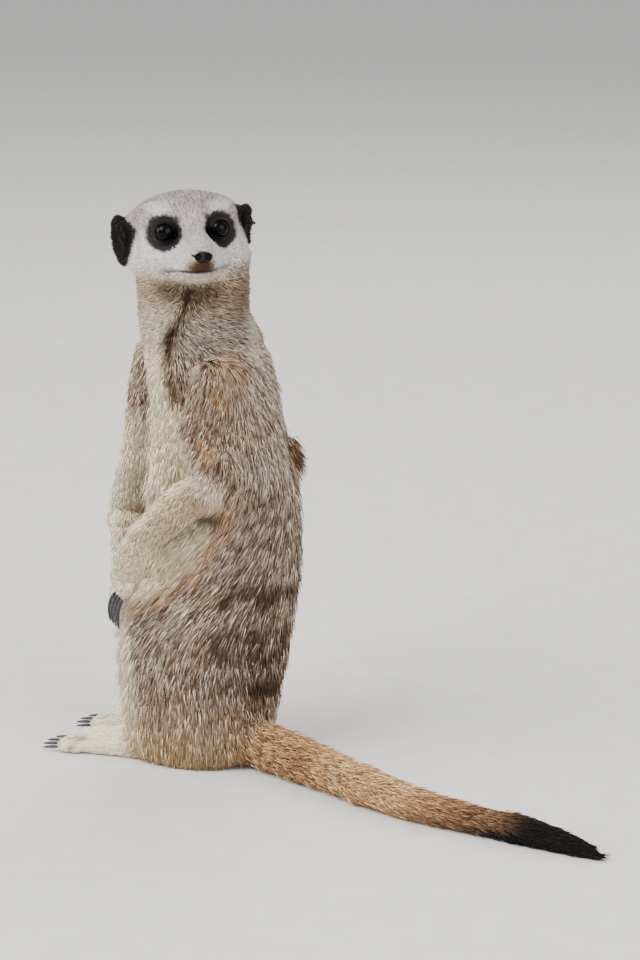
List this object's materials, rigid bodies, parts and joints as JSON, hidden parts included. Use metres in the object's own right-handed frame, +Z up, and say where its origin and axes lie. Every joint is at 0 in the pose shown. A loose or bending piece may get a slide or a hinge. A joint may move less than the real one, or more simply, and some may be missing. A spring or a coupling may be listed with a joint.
{
  "type": "meerkat",
  "caption": "Life-size meerkat sitting upright on its haunches, hands hanging before the belly, head turned to its left and tail laid out along the floor.",
  "frame": {"origin": "on the floor, in the flat that the rump rests on", "axes": "+Z up, the hind feet point towards -Y, the animal's left side faces +X, and the tail lies towards +X and +Y"},
  "size_m": [0.2073, 0.2672, 0.2847],
  "materials": {
    "grizzled_coat": "short grizzled fur, brown with silver tips",
    "pale_coat": "short pale fur",
    "face_coat": "very short pale fur with dark eye patches",
    "tail_coat": "short tawny fur",
    "black_coat": "short black-brown fur",
    "ear_coat": "fine dark fur over thin skin",
    "nose_skin": "damp bare skin",
    "eye": "dark, wet and opaque",
    "claw": "dark horn"
  },
  "bodies": {
    "root": {"head": "face_coat", "nose": "nose_skin", "neck": "grizzled_coat", "chest": "grizzled_coat", "belly": "grizzled_coat", "rump": "grizzled_coat", "tail_root": "tail_coat", "tail_middle": "tail_coat", "tail_tip": "black_coat", "left_eye": "eye", "left_ear": "ear_coat", "left_upper_arm": "pale_coat", "left_forearm": "pale_coat", "left_hand": "pale_coat", "left_thigh": "grizzled_coat", "left_foot": "pale_coat", "left_hand_claw_1": "claw", "left_foot_claw_1": "claw", "left_hand_claw_2": "claw", "left_foot_claw_2": "claw", "left_hand_claw_3": "claw", "left_foot_claw_3": "claw", "left_hand_claw_4": "claw", "left_foot_claw_4": "claw", "right_eye": "eye", "right_ear": "ear_coat", "right_upper_arm": "pale_coat", "right_forearm": "pale_coat", "right_hand": "pale_coat", "right_thigh": "grizzled_coat", "right_foot": "pale_coat", "right_hand_claw_1": "claw", "right_foot_claw_1": "claw", "right_hand_claw_2": "claw", "right_foot_claw_2": "claw", "right_hand_claw_3": "claw", "right_foot_claw_3": "claw", "right_hand_claw_4": "claw", "right_foot_claw_4": "claw"}
  },
  "joints": []
}
